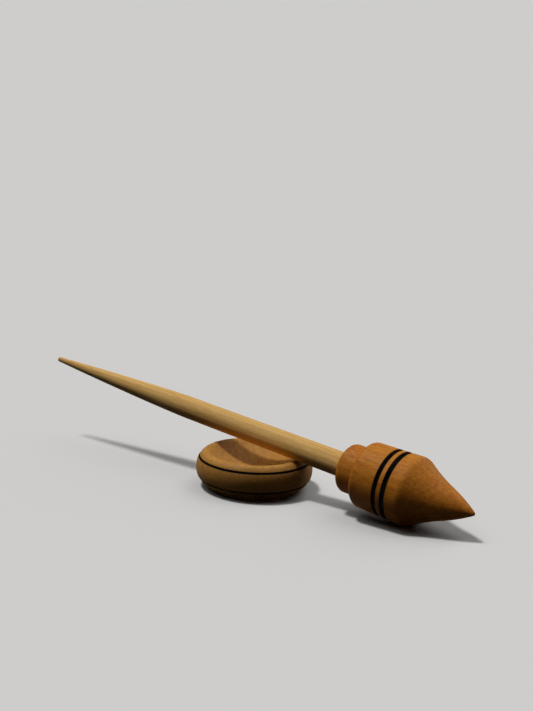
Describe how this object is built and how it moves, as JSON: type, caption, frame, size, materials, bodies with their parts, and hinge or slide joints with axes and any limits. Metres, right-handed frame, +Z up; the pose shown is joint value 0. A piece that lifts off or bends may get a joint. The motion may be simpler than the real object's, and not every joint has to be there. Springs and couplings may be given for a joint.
{
  "type": "support spindle",
  "caption": "Turned wooden support spindle: a tapered shaft in an ogee-pointed whorl with burnt lines, lying across its dished support bowl and free to spin about its own axis.",
  "frame": {"origin": "middle of the bowl's flat foot, on the table", "axes": "+Z up from the table; +X along the table under the spindle, towards its point; the spindle lies in a plane parallel to XZ and rises towards -X"},
  "size_m": [0.2586, 0.0584, 0.0425],
  "materials": {
    "shaft_wood": "pale straw wood, fine lengthwise grain, sanded and oiled",
    "whorl_wood": "amber wood, satin oil, two charred lines",
    "bowl_wood": "light tan wood, satin oil, two fine charred lines"
  },
  "bodies": {
    "bowl": {"support_bowl": "bowl_wood"},
    "spindle": {"shaft": "shaft_wood", "whorl": "whorl_wood"}
  },
  "joints": [
    {"name": "spindle_spin", "type": "hinge", "parent": "bowl", "child": "spindle", "pos_m": [0.12546, 0.0025, 0.01363], "axis": [-0.9943, 0, 0.1067], "continuous": true}
  ]
}
